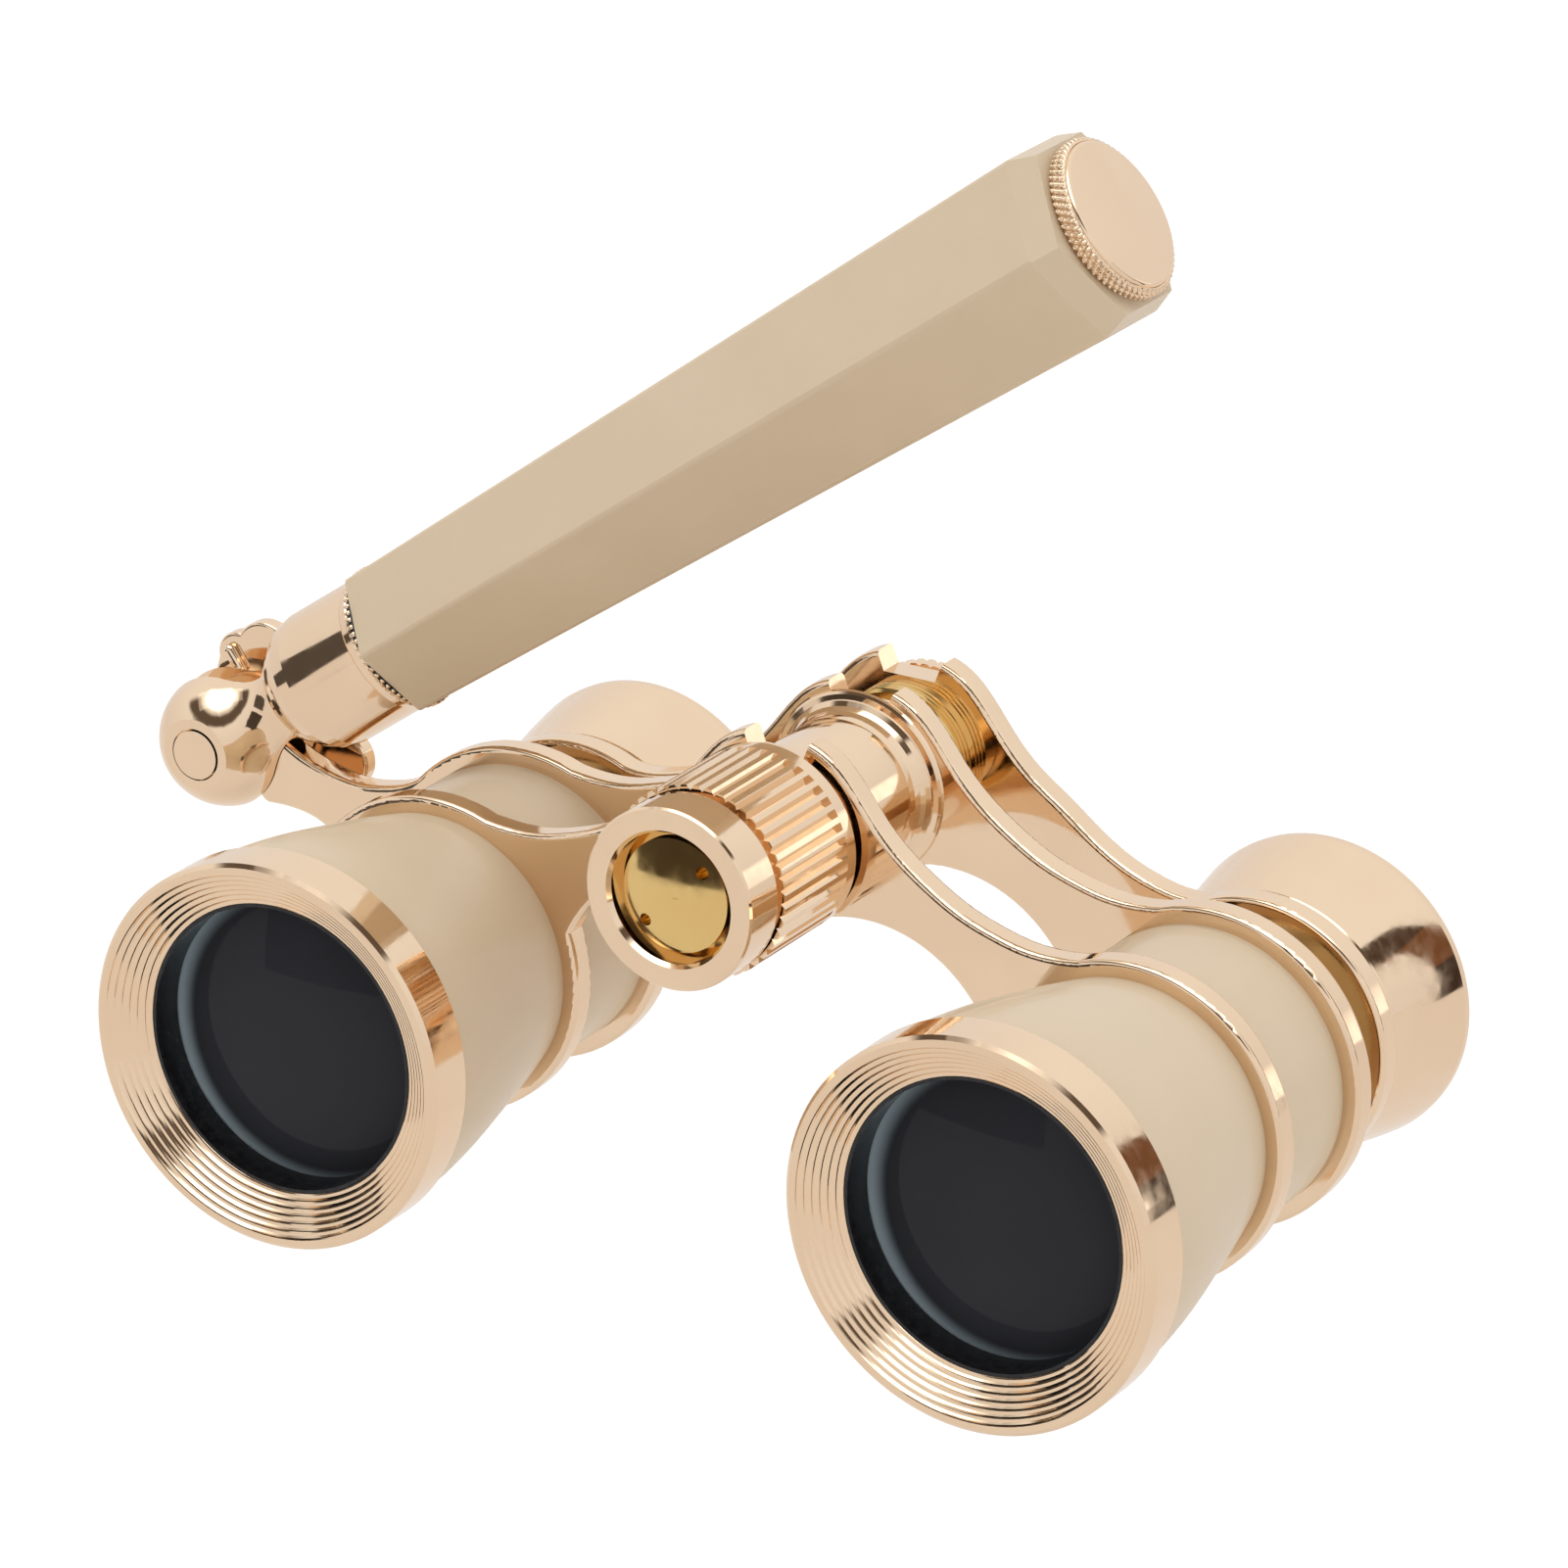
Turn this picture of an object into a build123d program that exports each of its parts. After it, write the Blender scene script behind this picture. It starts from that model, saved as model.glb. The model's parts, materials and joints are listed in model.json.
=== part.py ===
from build123d import *
import os
from math import copysign, cos, pi, radians, sin, sqrt

# Folding-handle opera glasses, modelled in millimetres.
# X runs across the barrels, Y from the objectives back to the eyecups, Z up.
# Everything is drawn in the barrel frame, where the barrel axes lie at z = 0 and the
# bezel fronts at y = 0, and is moved to the part's own origin when it is exported.

# barrels
HALF_SPACING = 31.0
BEZEL_R = 15.66
BEZEL_LENGTH = 4.1
LENS_OPENING_R = 11.77
LENS_R = 12.5
TUBE_R = 11.8
TUBE_BORE_R = 10.0
CONE_END_Y = 23.9
CONE_PROFILE = [(4.1, 15.25), (8.4, 14.95), (12.6, 14.3), (16.0, 13.6), (20.0, 12.75), (CONE_END_Y, TUBE_R)]

# bridge plates
PLATE_T = 2.3
FRONT_Y = 23.9
MIDDLE_Y = 36.3
REAR_Y = 43.8
RING_R = 13.1
REAR_RING_R = 11.3
PEAK_Z = 24.8
NOTCH_Z = 23.25
EDGE_ROUND = 0.45

# hub and focus wheel
HUB_Z = 16.93
HUB_TUBE_R = 6.0
HUB_BORE_R = 5.0
KNOB_Y = 8.41
KNOB_REAR_Y = 23.35
KNOB_FACE_R = 7.3
KNOB_R = 7.66
KNOB_RECESS_R = 5.25
KNOB_GROOVES = 44
SPINDLE_R = 2.4
RUNNING = 0.05

# eyepieces
EYE_TUBE_R = TUBE_BORE_R - 0.08
EYECUP_Y = REAR_Y + PLATE_T
EYECUP_END_Y = 55.97
EYECUP_R = 12.52
OCULAR_R = 7.0

# handle hinge
PIVOT_X = -59.8
PIVOT_Z = 7.9
FOLD_ANGLE = 35.9
HANDLE_LEAN = 4.64
LUG_EYE_R = 4.2
PIN_R = 1.5
BALL_R = 5.62
SLOT_CLEARANCE = 0.1
SLOT_DEPTH = 7.0

# handle, measured along its own axis from the hinge
NECK_END = 8.1
FERRULE_START = 8.9
FERRULE_R = 5.85
FERRULE_END = 19.5
GRIP_START = 19.8
GRIP_CHAMFER = 91.3
GRIP_END = 93.6
GRIP_R0 = 6.9
GRIP_R1 = 8.84
GRIP_END_R = 7.95
GRIP_BORE_R = 5.2
INNER_TUBE_R = 4.4
INNER_TUBE_END = 70.0
CAP_R = 6.69
CAP_END = 95.4

MIDDLE_CENTRE_Y = MIDDLE_Y + PLATE_T / 2


def turned(points, x=0.0, z=0.0):
    """A body of revolution about a line along Y, from (y, radius) corners."""
    face = make_face(Polyline(*[(r, y) for y, r in points], close=True))
    return Pos(x, 0, z) * revolve(face, Axis.Y)


def turned_curve(curve, inner, x=0.0, z=0.0):
    """As turned, with a smooth outer curve of (y, radius) points closed by inner corners."""
    outside = Spline(*[(r, y) for y, r in curve])
    ends = [outside @ 1] + [(r, y) for y, r in inner] + [outside @ 0]
    return Pos(x, 0, z) * revolve(make_face([outside, Polyline(*ends)]), Axis.Y)


def ring(y0, y1, inner, outer, x=0.0, z=0.0):
    return turned([(y0, inner), (y0, outer), (y1, outer), (y1, inner)], x, z)


def plate(outline, y, thickness):
    """Extrudes an outline drawn in X and Z, from y backwards."""
    return extrude(Plane.XZ.offset(-y) * outline, amount=-thickness)


def disc(x, z, r):
    return Pos(x, z) * Circle(r)


# ---- objective end ----

def bezel_front():
    """Corners of the stepped cone that leads in from the rim to the lens opening, each step with a rounded nose."""
    steps = 6
    rim_r = 14.7
    width = (rim_r - LENS_OPENING_R) / steps
    rise = 2.04 / steps
    corners = [(0.3, BEZEL_R), (0.0, BEZEL_R - 0.3)]
    for i in range(steps + 1):
        depth = rise * i
        nose_r = rim_r - width * i
        corners += [(depth - 0.02 * min(i, 1), nose_r + 0.14), (depth + 0.03, nose_r + 0.05), (depth + 0.12, nose_r)]
        if i < steps:
            corners.append((depth + rise - 0.06, nose_r - 0.12))
    return corners


def objective_bezel(x):
    spigot_r = 13.7
    back = [(5.2, LENS_OPENING_R), (5.2, LENS_R), (8.0, LENS_R), (8.0, spigot_r), (BEZEL_LENGTH, spigot_r)]
    return turned(bezel_front() + back + [(BEZEL_LENGTH, BEZEL_R)], x)


def lens_retainer(x):
    """The black shade ring that lines the opening in front of the lens."""
    return ring(2.1, 5.0, 11.5, LENS_OPENING_R, x)


def lens_sphere(y_axis, y_rim, r):
    """The sphere of a lens face that crosses the axis at y_axis and radius r at y_rim."""
    sag = y_rim - y_axis
    sphere_r = (r * r + sag * sag) / (2 * abs(sag))
    return Pos(0, y_axis + copysign(sphere_r, sag), 0) * Sphere(sphere_r)


def objective_lens(x):
    """A double-convex lens seated against the bezel's inner shoulder."""
    blank = ring(3.7, 8.8, 0, LENS_R)
    lens = blank & lens_sphere(3.75, 5.45, LENS_R) & lens_sphere(8.8, 7.8, LENS_R)
    return Pos(x, 0, 0) * lens


def front_barrel(x):
    """The flared front body, bored for the bezel's spigot and the rear tube."""
    inner = [(CONE_END_Y, 10.9), (19.5, 10.9), (19.5, 11.3), (9.0, 13.7), (4.1, 13.7)]
    return turned_curve(CONE_PROFILE, inner, x)


def barrel_tube(x):
    """The straight tube behind it, which carries both fixed bridge plates."""
    return turned(
        [(19.5, TUBE_BORE_R), (19.5, 10.9), (CONE_END_Y, 10.9), (CONE_END_Y, TUBE_R - 0.1),
         (26.2, TUBE_R - 0.1), (26.2, TUBE_R), (35.6, TUBE_R), (MIDDLE_Y, TUBE_R - 0.1),
         (38.6, TUBE_R - 0.1), (38.6, 11.2), (40.0, 11.2), (40.0, TUBE_BORE_R)], x)


def tube_end_ring(x):
    """The turned ring that locks the middle plate on the tube."""
    return turned(
        [(38.6, 11.2), (38.6, 12.6), (39.5, 12.3), (40.2, 11.6), (40.2, TUBE_BORE_R + 0.1),
         (40.0, TUBE_BORE_R + 0.1), (40.0, 11.2)], x)


# ---- bridge plates ----

def bridge_web(landing):
    """Both halves of a bridge: sharp peaks either side of the hub notch and sweeping shoulders."""
    shoulder = [(2.9, PEAK_Z), (4.9, 23.75), (7.0, 21.5), (9.1, 18.85), (10.9, 17.15), (13.5, 15.3)]
    top = Spline(*(shoulder + landing))
    notch = Polyline((0, NOTCH_Z), (2.3, NOTCH_Z), (2.9, PEAK_Z))
    to_ring = Polyline(landing[-1], (HALF_SPACING, 0), (18.7, 4.5))
    arch = ThreePointArc((18.7, 4.5), (12.9, 10.37), (3.2, 10.45))
    foot = ThreePointArc((3.2, 10.45), (1.7, 9.85), (0, 9.6))
    half = make_face([notch, top, to_ring, arch, foot, Line((0, 9.6), (0, NOTCH_Z))])
    return half + mirror(half, Plane.YZ)


def lug_arm():
    """The arm that reaches out past the left barrel to the handle hinge."""
    upper = Spline((-40.2, 9.1), (-42.3, 7.75), (-44.7, 7.1), (-46.6, 6.9), (-48.2, 7.05), (-49.8, 7.4),
                   (-51.4, 7.9), (-52.9, 8.6), (-55.2, 10.0))
    lower = Spline((-55.2, 3.45), (-52.5, 3.4), (-50.6, 2.95), (-48.9, 2.0), (-47.0, 0.5), (-45.2, -1.7),
                   (-43.4, -4.6))
    inner_end = Polyline((-43.4, -4.6), (-36.0, 0.0), (-40.2, 9.1))
    outer_end = Polyline((-55.2, 10.0), (PIVOT_X, PIVOT_Z), (-55.2, 3.45))
    return make_face([upper, outer_end, lower, inner_end])


def rounded_web(outline, y):
    """A plate whose curved outer edges are softened on both faces."""
    solid = plate(outline, y, PLATE_T)
    edges = [e for f in solid.faces().filter_by(Axis.Y) for e in f.outer_wire().edges()]
    return fillet([e for e in edges if e.geom_type != GeomType.LINE], EDGE_ROUND)


def rounded_ring(x, z, r, y):
    """A plate's round end, softened like the web it joins."""
    solid = plate(disc(x, z, r), y, PLATE_T)
    return fillet(solid.edges().filter_by(GeomType.CIRCLE), EDGE_ROUND)


def bridge(landing, y, ring_r, barrel_bore, hub_bore):
    """A web with a ring round each barrel, bored for the barrels and the hub."""
    solid = rounded_web(bridge_web(landing), y)
    holes = disc(0, HUB_Z, hub_bore)
    for x in (HALF_SPACING, -HALF_SPACING):
        solid += rounded_ring(x, 0, ring_r, y)
        holes += disc(x, 0, barrel_bore)
    return solid - plate(holes, y - 1, PLATE_T + 2)


FIXED_LANDING = [(16.3, 13.75), (19.0, 12.8), (21.5, 12.2), (24.0, 12.05), (26.5, 12.3)]
REAR_LANDING = [(16.3, 13.2), (19.2, 11.5), (21.8, 10.55), (24.3, 10.1), (26.8, 10.4)]


def front_bridge():
    return bridge(FIXED_LANDING, FRONT_Y, RING_R, TUBE_R - 0.1, HUB_TUBE_R)


def middle_bridge():
    """The fixed bridge that also carries the handle's lug."""
    arm = rounded_web(lug_arm(), MIDDLE_Y) + rounded_ring(PIVOT_X, PIVOT_Z, LUG_EYE_R, MIDDLE_Y)
    arm -= plate(disc(PIVOT_X, PIVOT_Z, PIN_R + RUNNING), MIDDLE_Y - 1, PLATE_T + 2)
    arm -= plate(disc(-HALF_SPACING, 0, RING_R - 1), MIDDLE_Y - 1, PLATE_T + 2)
    return arm + bridge(FIXED_LANDING, MIDDLE_Y, RING_R, TUBE_R - 0.1, HUB_TUBE_R)


def eyepiece_bridge():
    return bridge(REAR_LANDING, REAR_Y, REAR_RING_R, EYE_TUBE_R, HUB_BORE_R - RUNNING)


# ---- eyepieces ----

def eyepiece_tube(x):
    return ring(29.0, EYECUP_Y, 8.9, EYE_TUBE_R, x)


def eyecup(x):
    """The flared cup the eye rests against, with a rounded rim."""
    outside = [(EYECUP_Y + 0.5, 10.95), (48.4, 11.3), (50.6, 11.75), (53.0, 12.2), (55.0, EYECUP_R)]
    inside = [(55.7, EYECUP_R - 0.05), (EYECUP_END_Y, EYECUP_R - 0.35), (EYECUP_END_Y, 11.75), (55.6, 11.45),
              (50.9, OCULAR_R), (49.4, OCULAR_R), (49.4, 8.3), (EYECUP_Y, 8.3), (EYECUP_Y, 10.6)]
    return turned_curve(outside, inside, x)


def ocular_lens(x):
    """A double-concave eye lens behind the cup's inner shoulder."""
    blank = ring(46.9, 50.2, 0, OCULAR_R)
    lens = blank - lens_sphere(48.0, 46.9, OCULAR_R) - lens_sphere(49.1, 50.2, OCULAR_R)
    return Pos(x, 0, 0) * lens


def ocular_retainer(x):
    """The black ring that holds the eye lens."""
    return ring(46.9, 49.4, OCULAR_R, 8.3, x)


# ---- hub and focus wheel ----

def centre_tube():
    """The polished tube between the fixed plates, bored for the focusing slide."""
    return ring(FRONT_Y, 38.6, HUB_BORE_R, HUB_TUBE_R, 0, HUB_Z)


def tube_collar():
    """The collar that flares from the tube to the middle plate, with one fine groove."""
    return turned([(33.9, HUB_TUBE_R), (33.9, 6.03), (34.5, 6.1), (35.0, 6.27), (35.4, 6.52), (35.7, 6.85),
                   (35.78, 6.75), (35.86, 6.9), (35.95, 7.3), (36.1, 7.5), (MIDDLE_Y, 7.6), (MIDDLE_Y, HUB_TUBE_R)],
                  0, HUB_Z)


def spindle_bushing():
    return ring(FRONT_Y, 26.2, SPINDLE_R + RUNNING, HUB_BORE_R, 0, HUB_Z)


def focus_spindle():
    """The screw turned by the focus wheel."""
    return turned([(12.5, 0), (12.5, SPINDLE_R), (42.0, SPINDLE_R), (42.4, SPINDLE_R - 0.4), (42.4, 0)], 0, HUB_Z)


def grooved_section(r, grooves, land, depth):
    """A round section with V-grooves around its edge; land is the share of the pitch left between them."""
    pitch = 2 * pi / grooves
    corners = []
    for i in range(grooves):
        for part, radius in ((0.0, r), (land / 2, r), (land, r), ((1 + land) / 2, r - depth)):
            angle = pitch * (i + part)
            corners.append((radius * cos(angle), radius * sin(angle)))
    return make_face(Polyline(*corners, close=True))


def focus_knob():
    """The wheel: a smooth front ring, a grooved grip and a smooth rear flange."""
    grip_y = 12.75
    flange_y = 21.8
    core_r = 6.9
    section = grooved_section(KNOB_R, KNOB_GROOVES, 0.42, 0.42)
    grip = Pos(0, 0, HUB_Z) * plate(section, grip_y, flange_y - grip_y)
    grip -= ring(grip_y, flange_y, 0, SPINDLE_R, 0, HUB_Z)
    body = turned(
        [(12.4, SPINDLE_R), (12.4, KNOB_RECESS_R), (8.8, KNOB_RECESS_R), (KNOB_Y, KNOB_RECESS_R + 0.25),
         (KNOB_Y, KNOB_FACE_R - 0.15), (8.6, KNOB_FACE_R), (12.2, KNOB_FACE_R), (12.3, KNOB_FACE_R - 0.1),
         (12.3, core_r), (flange_y, core_r), (flange_y, KNOB_R), (23.0, KNOB_R), (KNOB_REAR_Y, 7.3),
         (KNOB_REAR_Y, SPINDLE_R)], 0, HUB_Z)
    return body + grip


def knob_face_disc():
    """The domed brass disc set in the wheel's face, with two spanner holes."""
    disc_r = 4.55
    hole_r = 3.45
    back_y = 12.4
    dome = ThreePointArc((0, 8.95), (2.3, 9.07), (disc_r, 9.45))
    sides = Polyline((disc_r, 9.45), (disc_r, 10.3), (KNOB_RECESS_R, 10.6), (KNOB_RECESS_R, back_y), (0, back_y),
                     (0, 8.95))
    solid = Pos(0, 0, HUB_Z) * revolve(make_face([dome, sides]), Axis.Y)
    for side in (-1, 1):
        hole = disc(side * hole_r * cos(radians(44)), HUB_Z + side * hole_r * sin(radians(44)), 0.5)
        solid -= plate(hole, 8.0, 2.8)
    return solid


def knob_washer():
    return ring(KNOB_REAR_Y, FRONT_Y, SPINDLE_R + RUNNING, 6.6, 0, HUB_Z)


def focus_slide():
    """The brass sleeve drawn along the hub by the spindle."""
    bore_r = SPINDLE_R + RUNNING
    return turned([(30.2, bore_r), (30.2, HUB_BORE_R - RUNNING), (47.4, HUB_BORE_R - RUNNING), (47.4, 0),
                   (46.6, 0), (46.6, bore_r)], 0, HUB_Z)


def slide_collar():
    """The grooved brass collar in front of the eyepiece bridge."""
    front_y = 41.7
    corners = [(REAR_Y, HUB_BORE_R - RUNNING), (front_y, HUB_BORE_R - RUNNING), (front_y, 5.6), (front_y + 0.2, 5.85)]
    for i in range(3):
        y = 42.2 + 0.5 * i
        corners += [(y, 5.85), (y + 0.12, 5.6), (y + 0.24, 5.85)]
    return turned(corners + [(REAR_Y, 5.85)], 0, HUB_Z)


def slide_end_cap():
    """The rounded, serrated cap nut behind the eyepiece bridge."""
    section = grooved_section(6.4, 40, 0.5, 0.2)
    grip = Pos(0, 0, HUB_Z) * plate(section, 46.6, 1.2)
    body = turned([(EYECUP_Y, 0), (EYECUP_Y, 5.9), (46.6, 6.1), (47.8, 6.1), (48.7, 5.3), (49.2, 4.0), (49.4, 0)],
                  0, HUB_Z)
    pocket = turned([(EYECUP_Y, 0), (EYECUP_Y, HUB_BORE_R - RUNNING), (47.4, HUB_BORE_R - RUNNING), (47.4, 0)],
                    0, HUB_Z)
    return grip + body - pocket


# ---- handle, drawn along +X with its hinge at the origin ----

def along(points):
    """A body of revolution about the handle's own axis, from (distance, radius) corners."""
    return revolve(make_face(Polyline(*points, close=True)), Axis.X)


def leaning(shape):
    return Rot(0, 0, HANDLE_LEAN) * shape


def folded(shape):
    """Puts a handle piece in its stored pose at the lug."""
    return Pos(PIVOT_X, MIDDLE_CENTRE_Y, PIVOT_Z) * Rot(0, -FOLD_ANGLE, 0) * shape


def hinge_cylinder(y0, y1, r):
    """A cylinder about the hinge line, in the handle's frame."""
    return Pos(0, (y0 + y1) / 2, 0) * Rot(90, 0, 0) * Cylinder(r, y1 - y0)


CHEEK_FRONT = -4.75
CHEEK_REAR = 2.6
HEAD_R = 2.05


def knuckle_body():
    """The ball and the neck that it flows into."""
    shoulder_s = 3.2
    shoulder_r = sqrt(BALL_R ** 2 - shoulder_s ** 2)
    ball = ThreePointArc((-BALL_R, 0), (0, BALL_R), (shoulder_s, shoulder_r))
    blend = Spline((shoulder_s, shoulder_r), (4.6, 3.75), (6.2, 3.3), (NECK_END, 3.75), tangents=[ball % 1, (1, 0.7)])
    back = Polyline((NECK_END, 3.75), (NECK_END, 0), (-BALL_R, 0))
    return leaning(revolve(make_face([ball, blend, back]), Axis.X))


def handle_knuckle():
    """The ball that straddles the lug, drawn out into the handle's neck."""
    slot_half = PLATE_T / 2 + SLOT_CLEARANCE
    slot = Pos(SLOT_DEPTH / 2 - 10, 0, 0) * Box(SLOT_DEPTH + 20, 2 * slot_half, 30)
    front_trim = Pos(0, CHEEK_FRONT - 5, 0) * Box(2 * SLOT_DEPTH, 10, 30)
    rear_trim = Pos(-1.55, CHEEK_REAR + 5, 0) * Box(16.5, 10, 30)
    solid = knuckle_body() - slot - front_trim - rear_trim - hinge_cylinder(-8, 8, PIN_R)
    return solid - hinge_cylinder(CHEEK_FRONT - 1, CHEEK_FRONT + 0.8, HEAD_R + 0.15)


def hinge_pin():
    shank = hinge_cylinder(CHEEK_FRONT + 0.8, 5.2, PIN_R)
    head = hinge_cylinder(CHEEK_FRONT - 0.1, CHEEK_FRONT + 0.8, HEAD_R)
    return head + shank


def wing_plate():
    """The plate behind the lug, with a broad ear above the handle and a round one below."""
    thickness = 1.5
    outline = Circle(4.3)
    for s, t, r in ((2.9, 5.3, 1.95), (5.3, 4.3, 2.7), (6.7, -6.2, 2.55)):
        outline += Pos(s, t) * Circle(r)
    web = Polyline((-2.0, 3.6), (1.4, 6.3), (5.3, 6.6), (5.3, 2.0), (6.9, -4.0), (6.2, -8.3), (0.0, -4.2), close=True)
    solid = plate(outline + make_face(web), CHEEK_REAR, thickness)
    rims = solid.edges().filter_by(lambda edge: edge.bounding_box().size.Y < 0.01)
    return fillet(rims, 0.3) - hinge_cylinder(0, 8, PIN_R)


def hinge_nut():
    """The domed nut on the tail of the hinge pin."""
    y = CHEEK_REAR + 1.5
    section = Polyline((0, y), (2.9, y), (2.9, y + 0.9), (2.3, y + 1.7), (0, y + 1.9), close=True)
    return revolve(make_face(section), Axis.Y) - hinge_cylinder(0, 5.2, PIN_R)


def handle_washer():
    return leaning(along([(NECK_END, 0), (NECK_END, 4.2), (8.4, 4.35), (FERRULE_START, 4.2), (FERRULE_START, 0)]))


def handle_ferrule():
    """The polished socket between the neck and the grip."""
    return leaning(along(
        [(FERRULE_START, 0), (FERRULE_START, 4.6), (9.5, 5.2), (10.4, 5.65), (11.6, FERRULE_R), (18.3, FERRULE_R),
         (18.5, 6.0), (19.2, 6.15), (FERRULE_END, 6.0), (FERRULE_END, INNER_TUBE_R), (11.5, INNER_TUBE_R),
         (11.5, 0)]))


def handle_inner_tube():
    """The tube fixed in the ferrule, on which the grip slides out."""
    return leaning(along([(11.5, 3.6), (11.5, INNER_TUBE_R), (INNER_TUBE_END, INNER_TUBE_R),
                          (INNER_TUBE_END, 3.6)]))


def tube_stop():
    """The ring on the tube's end that keeps the grip from pulling off."""
    return leaning(along([(66.0, INNER_TUBE_R), (66.0, GRIP_BORE_R - RUNNING), (69.0, GRIP_BORE_R - RUNNING),
                          (69.0, INNER_TUBE_R)]))


def grip_bushing():
    return leaning(along([(GRIP_START, INNER_TUBE_R + RUNNING), (GRIP_START, GRIP_BORE_R), (25.0, GRIP_BORE_R),
                          (25.0, INNER_TUBE_R + RUNNING)]))


def hexagon(s, r):
    """A hexagon square to the handle, its corners up to the front and back."""
    return Plane(origin=(s, 0, 0), x_dir=(0, 1, 0), z_dir=(1, 0, 0)) * RegularPolygon(r, 6)


def handle_grip():
    """The tapered six-sided grip, chamfered at its free end."""
    body = loft([hexagon(GRIP_START, GRIP_R0), hexagon(GRIP_CHAMFER, GRIP_R1)])
    body += loft([hexagon(GRIP_CHAMFER, GRIP_R1), hexagon(GRIP_END, GRIP_END_R)])
    long_edges = [e for e in body.edges() if e.length > 40]
    body = fillet(long_edges, 0.5)
    return leaning(body - along([(0, 0), (0, GRIP_BORE_R), (GRIP_END + 1, GRIP_BORE_R), (GRIP_END + 1, 0)]))


def cap_ring():
    """The serrated ring at the end of the grip."""
    flat = Plane(origin=(GRIP_END, 0, 0), x_dir=(0, 1, 0), z_dir=(1, 0, 0))
    teeth = extrude(flat * grooved_section(CAP_R, 60, 0.3, 0.16), amount=CAP_END - GRIP_END - 0.3)
    lip = along([(GRIP_END, 0), (GRIP_END, 6.3), (CAP_END, 6.3), (CAP_END, 0)])
    seat = along([(CAP_END - 0.4, 0), (CAP_END - 0.4, 5.9), (CAP_END + 1, 5.9), (CAP_END + 1, 0)])
    plug = along([(87.0, 0), (87.0, GRIP_BORE_R), (GRIP_END, GRIP_BORE_R), (GRIP_END, 0)])
    return leaning(teeth + lip - seat + plug)


def cap_disc():
    """The plain disc set in the cap."""
    return leaning(along([(CAP_END - 0.4, 0), (CAP_END - 0.4, 5.9), (CAP_END - 0.05, 5.9), (CAP_END, 5.7),
                          (CAP_END, 0)]))


def build_parts():
    parts = {}
    pairs = [objective_bezel, lens_retainer, objective_lens, front_barrel, barrel_tube, tube_end_ring,
             eyepiece_tube, eyecup, ocular_lens, ocular_retainer]
    for make in pairs:
        parts[make.__name__ + "_right"] = make(HALF_SPACING)
        parts[make.__name__ + "_left"] = make(-HALF_SPACING)
    singles = [front_bridge, middle_bridge, eyepiece_bridge, centre_tube, tube_collar, spindle_bushing,
               focus_spindle, focus_knob, knob_face_disc, knob_washer, focus_slide, slide_collar, slide_end_cap]
    for make in singles:
        parts[make.__name__] = make()
    handle = [handle_knuckle, hinge_pin, wing_plate, hinge_nut, handle_washer, handle_ferrule,
              handle_inner_tube, tube_stop, grip_bushing, handle_grip, cap_ring, cap_disc]
    for make in handle:
        parts[make.__name__] = folded(make())
    return parts


def export_parts(parts):
    """Moves the origin to the middle of the bounding box's base and writes one file per piece."""
    box = Compound(list(parts.values())).bounding_box()
    shift = Pos(-box.center().X, -box.center().Y, -box.min.Z)
    for name, shape in parts.items():
        export_step(shift * shape, "parts/" + name + ".step")
    return shift


os.makedirs("parts", exist_ok=True)
origin_shift = export_parts(build_parts())
print("barrel frame moved by", origin_shift.position)
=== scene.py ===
import json
from math import cos, pi, radians, sin

import bmesh
import bpy
from mathutils import Matrix, Vector


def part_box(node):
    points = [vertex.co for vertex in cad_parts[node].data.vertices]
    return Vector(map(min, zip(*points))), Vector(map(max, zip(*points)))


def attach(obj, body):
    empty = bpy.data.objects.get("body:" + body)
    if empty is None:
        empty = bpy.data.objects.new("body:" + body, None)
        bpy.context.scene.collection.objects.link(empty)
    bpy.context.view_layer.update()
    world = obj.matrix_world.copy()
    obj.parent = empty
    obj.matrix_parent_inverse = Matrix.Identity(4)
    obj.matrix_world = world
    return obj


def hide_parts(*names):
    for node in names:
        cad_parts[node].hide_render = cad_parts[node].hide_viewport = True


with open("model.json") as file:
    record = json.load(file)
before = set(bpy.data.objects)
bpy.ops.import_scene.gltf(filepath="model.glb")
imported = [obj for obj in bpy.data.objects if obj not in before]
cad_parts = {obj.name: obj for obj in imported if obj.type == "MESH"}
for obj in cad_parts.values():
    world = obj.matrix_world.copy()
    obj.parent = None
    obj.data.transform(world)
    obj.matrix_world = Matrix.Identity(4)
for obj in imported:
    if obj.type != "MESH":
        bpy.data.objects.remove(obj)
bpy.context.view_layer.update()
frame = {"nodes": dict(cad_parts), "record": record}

NODES = frame["nodes"]
MM = 0.001

# the camera, in the part's own frame, in metres and degrees
CAMERA_PLACE = (0.33875, -0.55, 0.29108)
CAMERA_AZIMUTH = 31.054
CAMERA_ELEVATION = 21.751
CAMERA_ROLL = 0.3625
CAMERA_LENS_MM = 207.8
SENSOR_MM = 36.0
CLIP_NEAR, CLIP_FAR = 0.01, 50.0

# the floor lies just below the lowest point that the handle reaches when it hangs out at its full length
FLOOR_Z = -0.12
FLOOR_SIZE = 12.0
FLOOR_GLOW = 1.15
FLOOR_GLOW_SHARE = 0.62

# the painted reflection on an objective, a pale bluish crescent along one edge: how far its circles are
# shifted from the lens's middle, and the radii between which the glass pales toward it
PAINTED_REFLECTION_SHIFT = (1.3, 0.35)
PAINTED_REFLECTION_RADII = (10.9, 13.2)

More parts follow.
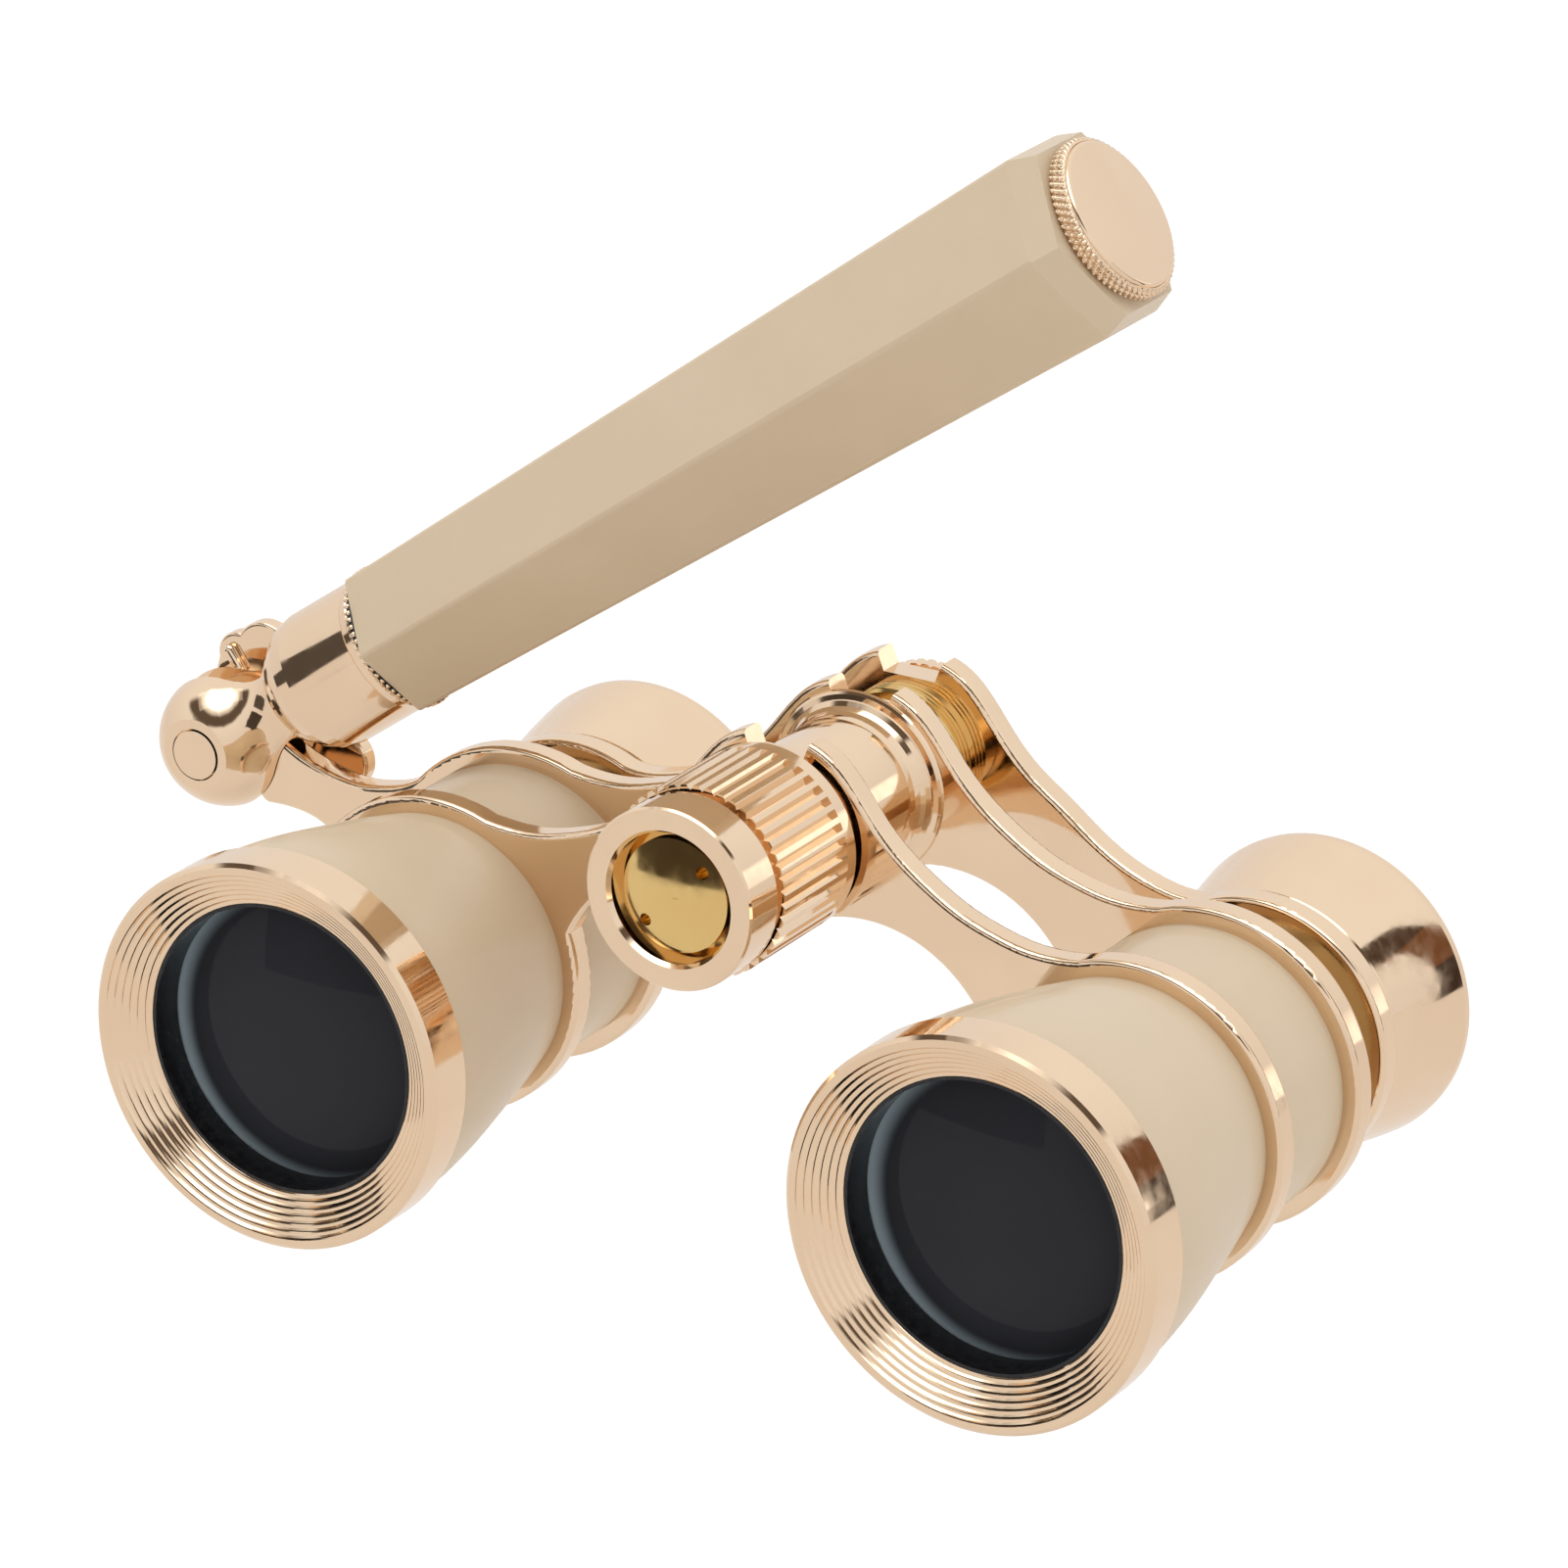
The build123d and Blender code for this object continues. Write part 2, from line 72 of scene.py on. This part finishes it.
# the cap at the grip's end: millimetres along the handle from its hinge, and radii about that line
CAP_RING_BACK = 93.6
CAP_FACE_BACK = 94.9
CAP_FRONT = 95.4
CAP_BORE_R = 5.4
CAP_RING_R = 6.2
CAP_FACE_R = 6.14
CAP_EDGE_R = 0.32
KNURL_START, KNURL_END = 93.75, 95.15
KNURL_ROOT_R = 6.24
KNURL_HEIGHT = 0.42
KNURL_ROW = 0.5
KNURL_BEADS = 66
KNURL_FULLNESS = 0.65
KNURL_FADE = 0.12
STEPS_PER_BEAD = 8

# the ferrule's toothed edge, measured in the same way; a tooth stands where its wave passes TOOTH_EDGE
TEETH = 60
STEPS_PER_TOOTH = 6
TOOTH_HEIGHT = 0.2
TOOTH_EDGE = 0.1
TEETH_START, TEETH_END = 19.2, 19.7
TEETH_BORE_R, TEETH_ROOT_R = 5.5, 6.0
# the black ring behind the teeth, painted shade in the gap between ferrule and grip
SHADE_START, SHADE_END = 19.25, 19.76
SHADE_BORE_R, SHADE_R = 5.4, 6.07

# the rod in front of the wing plate, in millimetres
CATCH_R = 0.5
CATCH_LENGTH = 3.0
CATCH_ALONG, CATCH_UP = 2.7, 3.0
CATCH_SINK = 0.3


# ---- node helpers ----

class Shader:
    """A material's node tree, with short calls for the nodes used here."""

    def __init__(self, name):
        self.material = bpy.data.materials.new(name)
        self.material.use_nodes = True
        self.tree = self.material.node_tree
        self.tree.nodes.clear()
        self.output = self.add("ShaderNodeOutputMaterial")
        self.surface = self.add("ShaderNodeBsdfPrincipled")
        self.link(self.surface, "BSDF", self.output, "Surface")

    def add(self, kind, **settings):
        node = self.tree.nodes.new(kind)
        for key, value in settings.items():
            setattr(node, key, value)
        return node

    def link(self, source, out, target, into):
        self.tree.links.new(source.outputs[out], target.inputs[into])

    def set(self, **values):
        for key, value in values.items():
            self.surface.inputs[key.replace("_", " ")].default_value = value

    def place(self):
        return self.add("ShaderNodeTexCoord")

    def noise(self, coordinates, scale, detail=2.0, roughness=0.5):
        node = self.add("ShaderNodeTexNoise")
        node.inputs["Scale"].default_value = scale
        node.inputs["Detail"].default_value = detail
        node.inputs["Roughness"].default_value = roughness
        self.link(coordinates, "Object", node, "Vector")
        return node

    def spread(self, source, out, low, high, from_low=0.35, from_high=0.65):
        """Maps a value on to low..high; the default limits are a noise texture's middle range."""
        node = self.add("ShaderNodeMapRange")
        node.inputs["From Min"].default_value = from_low
        node.inputs["From Max"].default_value = from_high
        node.inputs["To Min"].default_value = low
        node.inputs["To Max"].default_value = high
        self.link(source, out, node, "Value")
        return node

    def mottle(self, texture, first, second):
        """Two colours, mixed by a noise texture."""
        node = self.add("ShaderNodeMix", data_type="RGBA")
        node.inputs["A"].default_value = (*first, 1.0)
        node.inputs["B"].default_value = (*second, 1.0)
        self.link(self.spread(texture, "Fac", low=0, high=1), "Result", node, "Factor")
        return node

    def toward(self, factor, out, source, colour):
        """Mixes a node's colour toward a fixed colour."""
        node = self.add("ShaderNodeMix", data_type="RGBA")
        node.inputs["B"].default_value = (*colour, 1.0)
        self.link(factor, out, node, "Factor")
        self.link(source, "Result", node, "A")
        return node

    def colour(self, source):
        self.link(source, "Result", self.surface, "Base Color")

    def bump(self, height, strength, distance):
        node = self.add("ShaderNodeBump")
        node.inputs["Strength"].default_value = strength
        node.inputs["Distance"].default_value = distance
        self.link(height, "Fac", node, "Height")
        self.link(node, "Normal", self.surface, "Normal")


# ---- materials ----

def plating(name, tint, deep, roughness=(0.05, 0.11)):
    """Mirror plating with a faint unevenness in its colour, polish and surface."""
    shader = Shader(name)
    shader.set(Metallic=1.0, IOR=1.5)
    place = shader.place()
    shader.colour(shader.mottle(shader.noise(place, scale=90.0, detail=3.0), tint, deep))
    polish = shader.noise(place, scale=900.0, detail=4.0)
    shader.link(shader.spread(polish, "Fac", *roughness), "Result", shader.surface, "Roughness")
    shader.bump(shader.noise(place, scale=260.0, detail=1.0), strength=0.06, distance=0.0002)
    return shader.material


def enamel(name, light, dark):
    """Satin enamel under a thin gloss coat, with a fine mottle and a slight orange peel."""
    shader = Shader(name)
    shader.set(Roughness=0.42, IOR=1.45, Specular_IOR_Level=0.24)
    shader.set(Coat_Weight=0.28, Coat_Roughness=0.07, Coat_IOR=1.33)
    place = shader.place()
    grain = shader.noise(place, scale=120.0, detail=5.0, roughness=0.6)
    shader.colour(shader.mottle(grain, light, dark))
    shader.bump(shader.noise(place, scale=700.0, detail=2.0), strength=0.05, distance=0.0001)
    return shader.material


def satin_black():
    shader = Shader("satin_black")
    shader.set(Specular_IOR_Level=0.35)
    grain = shader.noise(shader.place(), scale=1500.0, detail=4.0)
    shader.colour(shader.mottle(grain, (0.008, 0.008, 0.009), (0.018, 0.018, 0.02)))
    polish = shader.spread(grain, "Fac", low=0.10, high=0.18)
    shader.link(polish, "Result", shader.surface, "Roughness")
    shader.bump(grain, strength=0.03, distance=0.0001)
    return shader.material


def coated_glass(name, centre=None):
    """Dark optical glass; with a centre, a painted reflection pales it to a bluish crescent along one edge.
    """
    shader = Shader(name)
    shader.set(Roughness=0.02, IOR=1.15)
    shader.set(Coat_Weight=0.05, Coat_Roughness=0.02, Coat_IOR=1.35)
    place = shader.place()
    film = shader.noise(place, scale=60.0, detail=2.0)
    tint = shader.mottle(film, (0.024, 0.025, 0.029), (0.028, 0.029, 0.034))
    # painted reflection: the glass colour pales to a bluish crescent beyond these radii
    if centre is not None:
        flat = shader.add("ShaderNodeVectorMath", operation="MULTIPLY")
        flat.inputs[1].default_value = (1.0, 0.0, 1.0)
        shader.link(place, "Object", flat, "Vector")
        reach = shader.add("ShaderNodeVectorMath", operation="DISTANCE")
        shift_x, shift_z = PAINTED_REFLECTION_SHIFT
        reach.inputs[1].default_value = (centre.x + shift_x * MM, 0.0, centre.z + shift_z * MM)
        shader.link(flat, "Vector", reach, "Vector")
        inner, outer = PAINTED_REFLECTION_RADII
        edge = shader.spread(reach, "Value", low=0, high=1, from_low=inner * MM, from_high=outer * MM)
        edge.interpolation_type = "SMOOTHSTEP"
        tint = shader.toward(edge, "Result", tint, (0.44, 0.55, 0.61))
    shader.colour(tint)
    return shader.material


def make_materials():
    return {
        "rose_gold": plating("rose_gold_plating", (0.87, 0.675, 0.48), (0.84, 0.64, 0.45)),
        "brass": plating("yellow_brass", (0.80, 0.58, 0.25), (0.74, 0.51, 0.19), (0.08, 0.16)),
        "champagne_paint": enamel("champagne_enamel", (0.655, 0.53, 0.375), (0.64, 0.515, 0.36)),
        # brass darkened as painted shade, for the eyepiece tubes in their recess between the plates
        "recess_shaded_brass": plating("recess_shaded_brass", (0.44, 0.29, 0.12), (0.36, 0.23, 0.09), (0.06, 0.12)),
        "black": satin_black(),
        "glass": coated_glass("coated_glass"),
        "steel": plating("ground_steel", (0.60, 0.58, 0.56), (0.52, 0.50, 0.48), (0.25, 0.35)),
    }


def paint_nodes(materials):
    """Gives every CAD node its slot's material, then the objectives glass with a painted reflection and the
    eyepiece tubes brass darkened as painted shade.
    """
    for entry in frame["record"]["subparts"]:
        piece = NODES[entry["node"]]
        piece.data.materials.clear()
        piece.data.materials.append(materials[entry["material_slot"]])
    for side in ("right", "left"):
        lens = "objective_lens_" + side
        # each objective's glass carries its own painted reflection crescent
        NODES[lens].data.materials[0] = coated_glass("coated_" + lens, middle_of(lens))
        # painted shade: the eyepiece tubes get the darkened brass
        NODES["eyepiece_tube_" + side].data.materials[0] = materials["recess_shaded_brass"]


# ---- pieces that add detail ----

def middle_of(node):
    low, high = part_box(node)
    return (Vector(low) + Vector(high)) / 2


def joint(name):
    return next(j for j in frame["record"]["behaviour"]["joints"] if j["name"] == name)


def handle_frame(lean):
    """A frame at the handle's hinge with X along the handle; without lean it stays in the hinge's plane."""
    along = Vector(joint("grip_slide")["axis"])
    if not lean:
        along.y = 0.0
    along.normalize()
    across = along.cross(Vector((0, 1, 0))).normalized()
    turn = Matrix((along, across.cross(along), across)).transposed()
    return Matrix.Translation(joint("handle_fold")["pos_m"]) @ turn.to_4x4()


def lathe(name, profile, steps, place, relief=None):
    """A solid turned about X from a closed loop of (x, radius) in millimetres; relief raises its surface."""
    mesh = bmesh.new()
    rings = []
    for i in range(steps):
        angle = 2 * pi * i / steps
        ring = []
        for x, r in profile:
            if relief:
                r += relief(angle, x, r)
            ring.append(mesh.verts.new((x * MM, r * cos(angle) * MM, r * sin(angle) * MM)))
        rings.append(ring)
    for i in range(steps):
        this, following = rings[i], rings[(i + 1) % steps]
        for j in range(len(profile)):
            k = (j + 1) % len(profile)
            mesh.faces.new((this[j], this[k], following[k], following[j]))
    bmesh.ops.remove_doubles(mesh, verts=mesh.verts, dist=1e-7)
    bmesh.ops.recalc_face_normals(mesh, faces=mesh.faces)
    data = bpy.data.meshes.new(name)
    mesh.to_mesh(data)
    mesh.free()
    data.transform(place)
    data.shade_smooth()
    piece = bpy.data.objects.new(name, data)
    bpy.context.collection.objects.link(piece)
    return piece


def quarter_turn(steps=6):
    """Angles from 0 to 90 degrees."""
    return [pi / 2 * i / steps for i in range(steps + 1)]


def finish_piece(piece, body, slot):
    piece.data.materials.append(MATERIALS[slot])
    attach(piece, body)


def knurled_cap_ring():
    """The cap's ring, with staggered rows of diamond beads."""
    samples = 28
    spacing = (KNURL_END - KNURL_START) / samples

    def diamond(angle, x, r):
        if r != KNURL_ROOT_R:
            return 0.0
        across = KNURL_BEADS * angle / 2
        up = pi * (x - KNURL_START) / KNURL_ROW / 2
        bead = abs(cos(across + up) * cos(across - up)) ** KNURL_FULLNESS
        fade = min(1.0, (x - KNURL_START) / KNURL_FADE, (KNURL_END - x) / KNURL_FADE)
        return KNURL_HEIGHT * bead * max(0.0, fade)

    back = [(CAP_RING_BACK, CAP_BORE_R), (CAP_RING_BACK, CAP_RING_R)]
    band = [(KNURL_START + spacing * i, KNURL_ROOT_R) for i in range(samples + 1)]
    lip = [(95.17, CAP_RING_R), (95.0, 6.16), (CAP_FACE_BACK, CAP_BORE_R)]
    steps = KNURL_BEADS * STEPS_PER_BEAD
    ring = lathe("knurled_cap_ring", back + band + lip, steps, handle_frame(lean=True), diamond)
    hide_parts("cap_ring")
    finish_piece(ring, "grip", "rose_gold")


def cap_face():
    """The plain disc that fills the cap to its knurl, with a rounded edge."""
    edge = []
    for turn in quarter_turn():
        x = CAP_FRONT - CAP_EDGE_R + CAP_EDGE_R * sin(turn)
        edge.append((x, CAP_FACE_R - CAP_EDGE_R + CAP_EDGE_R * cos(turn)))
    profile = [(CAP_FACE_BACK, 0.0), (CAP_FACE_BACK, CAP_FACE_R)] + edge + [(CAP_FRONT, 0.0)]
    face = lathe("cap_face", profile, 128, handle_frame(lean=True))
    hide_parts("cap_disc")
    finish_piece(face, "grip", "rose_gold")


def ferrule_knurl():
    """The toothed edge of the ferrule, just short of the grip, with a black ring behind its teeth as painted
    shade in the gap.
    """

    def tooth(angle, x, r):
        return TOOTH_HEIGHT if r == TEETH_ROOT_R and cos(TEETH * angle) > TOOTH_EDGE else 0.0

    start = [(TEETH_START, TEETH_BORE_R), (TEETH_START, TEETH_ROOT_R)]
    end = [(TEETH_END, 5.9), (TEETH_END, TEETH_BORE_R)]
    profile = start + [(19.32, TEETH_ROOT_R), (19.66, TEETH_ROOT_R)] + end
    knurl = lathe("ferrule_knurl", profile, TEETH * STEPS_PER_TOOTH, handle_frame(lean=True), tooth)
    finish_piece(knurl, "handle", "rose_gold")
    shade = [(SHADE_START, SHADE_BORE_R), (SHADE_START, SHADE_R)]
    shade += [(SHADE_END, SHADE_R), (SHADE_END, SHADE_BORE_R)]
    ring = lathe("ferrule_shadow_ring", shade, 96, handle_frame(lean=True))
    finish_piece(ring, "handle", "black")


def hinge_catch():
    """The small round-ended rod that stands in front of the wing plate's upper ear."""
    arc = [(-cos(turn), sin(turn)) for turn in quarter_turn()]
    left = [(CATCH_R * x, CATCH_R * r) for x, r in arc]
    right = [(CATCH_LENGTH - CATCH_R * x, CATCH_R * r) for x, r in reversed(arc)]
    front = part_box("wing_plate")[0][1] / MM - joint("handle_fold")["pos_m"][1] / MM
    foot = Vector((CATCH_ALONG, front - CATCH_SINK, CATCH_UP)) * MM
    stand = Matrix.Translation(foot) @ Matrix.Rotation(-pi / 2, 4, "Y")
    rod = lathe("hinge_catch", left + right, 32, handle_frame(lean=False) @ stand)
    finish_piece(rod, "handle", "rose_gold")


# ---- studio ----

def floor_material():
    """White paper that glows a little to the camera and is a little duller in reflections."""
    shader = Shader("paper_floor")
    shader.set(Roughness=0.9)
    fibre = shader.noise(shader.place(), scale=400.0, detail=4.0)
    white = shader.mottle(fibre, (0.89, 0.87, 0.85), (0.87, 0.85, 0.83))
    path = shader.add("ShaderNodeLightPath")
    shader.colour(shader.toward(path, "Is Glossy Ray", white, (0.76, 0.73, 0.71)))
    glow = shader.add("ShaderNodeEmission")
    glow.inputs["Strength"].default_value = FLOOR_GLOW
    share = shader.add("ShaderNodeMath", operation="MULTIPLY")
    share.inputs[1].default_value = FLOOR_GLOW_SHARE
    shader.link(path, "Is Camera Ray", share, "Value")
    mix = shader.add("ShaderNodeMixShader")
    shader.link(share, "Value", mix, "Fac")
    shader.link(shader.surface, "BSDF", mix, 1)
    shader.link(glow, "Emission", mix, 2)
    shader.link(mix, "Shader", shader.output, "Surface")
    return shader.material


def add_floor():
    """A wide sheet of white paper under the object."""
    bpy.ops.mesh.primitive_grid_add(
        x_subdivisions=8, y_subdivisions=8, size=FLOOR_SIZE, location=(0, 0, FLOOR_Z)
    )
    floor = bpy.context.object
    floor.name = "paper_floor"
    floor.data.materials.append(floor_material())


def add_area_light(name, place, target, size, power):
    data = bpy.data.lights.new(name, "AREA")
    data.shape = "RECTANGLE"
    data.size, data.size_y = size
    data.energy = power
    light = bpy.data.objects.new(name, data)
    bpy.context.collection.objects.link(light)
    light.location = place
    light.rotation_euler = (Vector(target) - Vector(place)).to_track_quat("-Z", "Y").to_euler()


class Sky:
    """The world's node tree: a pale tent that reflects as plain panels."""

    def __init__(self):
        self.world = bpy.data.worlds.new("studio_tent")
        bpy.context.scene.world = self.world
        self.world.use_nodes = True
        self.tree = self.world.node_tree
        self.tree.nodes.clear()
        place = self.add("ShaderNodeTexCoord")
        direction = self.add("ShaderNodeSeparateXYZ")
        self.link(place.outputs["Generated"], direction.inputs[0])
        self.height = direction.outputs["Z"]
        self.depth = direction.outputs["Y"]
        self.azimuth = self.math("ARCTAN2", direction.outputs["X"], self.depth)

    def add(self, kind):
        return self.tree.nodes.new(kind)

    def link(self, source, target):
        self.tree.links.new(source, target)

    def math(self, operation, first, second):
        node = self.add("ShaderNodeMath")
        node.operation = operation
        for socket, value in zip(node.inputs, (first, second)):
            if isinstance(value, float):
                socket.default_value = value
            else:
                self.link(value, socket)
        return node.outputs[0]

    def step(self, value, edge, softness):
        """Rises from 0 to 1 as value passes edge."""
        node = self.add("ShaderNodeMapRange")
        node.interpolation_type = "SMOOTHSTEP"
        node.inputs["From Min"].default_value = edge - softness
        node.inputs["From Max"].default_value = edge + softness
        self.link(value, node.inputs["Value"])
        return node.outputs["Result"]

    def below(self, value, edge, softness):
        """Falls from 1 to 0 as value passes edge."""
        return self.math("SUBTRACT", 1.0, self.step(value, edge, softness))

    def window(self, value, low, high, softness):
        """Is 1 between low and high."""
        return self.math("SUBTRACT", self.step(value, low, softness), self.step(value, high, softness))

    def both(self, first, second):
        return self.math("MULTIPLY", first, second)

    def panel(self, azimuths, elevations, softness=radians(1.5)):
        """Is 1 inside a panel given by its edges in degrees; azimuth 0 is +Y, 90 is +X."""
        across = self.window(self.azimuth, radians(azimuths[0]), radians(azimuths[1]), softness)
        up = self.window(self.height, sin(radians(elevations[0])), sin(radians(elevations[1])), softness)
        return self.both(across, up)

    def mix(self, factor, first, second):
        """Mixes a colour, plain or from a node, toward a plain colour."""
        node = self.add("ShaderNodeMix")
        node.data_type = "RGBA"
        if isinstance(first, tuple):
            node.inputs["A"].default_value = (*first, 1.0)
        else:
            self.link(first, node.inputs["A"])
        node.inputs["B"].default_value = (*second, 1.0)
        self.link(factor, node.inputs["Factor"])
        return node.outputs["Result"]


def add_world():
    """A tent of light with a low strip, a bright top and a dark gap; the camera sees plain white."""
    sky = Sky()
    upper = sky.step(sky.height, edge=0.35, softness=0.45)
    tent = sky.mix(upper, (0.86, 0.84, 0.85), (1.0, 1.0, 1.0))
    low_strip = sky.panel(azimuths=(34, 38), elevations=(-8, 12))
    tent = sky.mix(low_strip, tent, (1.6, 1.55, 1.5))
    overhead = sky.step(sky.height, edge=0.86, softness=0.02)
    bright_top = sky.both(overhead, sky.below(sky.depth, edge=0.12, softness=0.04))
    tent = sky.mix(bright_top, tent, (2.5, 2.5, 2.5))
    high_up = sky.window(sky.height, low=0.58, high=0.80, softness=0.04)
    dark_gap = sky.both(high_up, sky.below(sky.depth, edge=-0.1, softness=0.1))
    tent = sky.mix(dark_gap, tent, (0.13, 0.10, 0.08))
    lighting = sky.add("ShaderNodeBackground")
    sky.link(tent, lighting.inputs["Color"])
    plain = sky.add("ShaderNodeBackground")
    plain.inputs["Color"].default_value = (1.0, 1.0, 1.0, 1.0)
    path = sky.add("ShaderNodeLightPath")
    choice = sky.add("ShaderNodeMixShader")
    sky.link(path.outputs["Is Camera Ray"], choice.inputs["Fac"])
    sky.link(lighting.outputs[0], choice.inputs[1])
    sky.link(plain.outputs[0], choice.inputs[2])
    output = sky.add("ShaderNodeOutputWorld")
    sky.link(choice.outputs[0], output.inputs["Surface"])


def add_card(name, ends, low, high, colour):
    """An upright studio card between two floor points, in millimetres, seen only in reflections."""
    (x0, y0), (x1, y1) = ends
    corners = [(x0, y0, low), (x1, y1, low), (x1, y1, high), (x0, y0, high)]
    data = bpy.data.meshes.new(name)
    data.from_pydata([tuple(c * MM for c in corner) for corner in corners], [], [(0, 1, 2, 3)])
    shader = Shader(name)
    shader.set(Roughness=0.9)
    deep = tuple(0.9 * c for c in colour)
    fibre = shader.noise(shader.place(), scale=300.0, detail=3.0)
    shader.colour(shader.mottle(fibre, colour, deep))
    data.materials.append(shader.material)
    card = bpy.data.objects.new(name, data)
    bpy.context.collection.objects.link(card)
    card.visible_camera = False
    card.visible_shadow = False
    card.visible_diffuse = False


def add_camera():
    azimuth, elevation, roll = map(radians, (CAMERA_AZIMUTH, CAMERA_ELEVATION, CAMERA_ROLL))
    forward = Vector((-sin(azimuth) * cos(elevation), cos(azimuth) * cos(elevation), -sin(elevation)))
    right = Vector((cos(azimuth), sin(azimuth), 0.0))
    up = right.cross(forward)
    tilted_right = right * cos(roll) + up * sin(roll)
    tilted_up = up * cos(roll) - right * sin(roll)
    turn = Matrix((tilted_right, tilted_up, -forward)).transposed()
    data = bpy.data.cameras.new("camera")
    data.lens = CAMERA_LENS_MM
    data.sensor_width = SENSOR_MM
    data.clip_start = CLIP_NEAR
    data.clip_end = CLIP_FAR
    camera = bpy.data.objects.new("camera", data)
    bpy.context.collection.objects.link(camera)
    camera.matrix_world = Matrix.Translation(CAMERA_PLACE) @ turn.to_4x4()
    bpy.context.scene.camera = camera


def add_studio():
    add_floor()
    add_world()
    behind_right = ((129, 100), (143, 91))
    add_card("umber_card", behind_right, low=6, high=40, colour=(0.04, 0.02, 0.012))
    add_card("brown_card", behind_right, low=40, high=84, colour=(0.20, 0.085, 0.03))
    add_card("upper_card", behind_right, low=84, high=122, colour=(0.07, 0.035, 0.018))
    add_card("left_card", ((-176, -52), (-120, -115)), low=6, high=72, colour=(0.09, 0.078, 0.07))
    add_card("front_card", ((-85, -100), (5, -145)), low=0, high=62, colour=(0.06, 0.045, 0.035))
    add_area_light("key", place=(-0.5, -0.2, 1.1), target=(0, 0, 0.04), size=(0.7, 0.7), power=0.5)
    add_camera()
    bpy.context.scene.view_settings.view_transform = "Standard"


MATERIALS = make_materials()
paint_nodes(MATERIALS)
knurled_cap_ring()
cap_face()
ferrule_knurl()
hinge_catch()
add_studio()
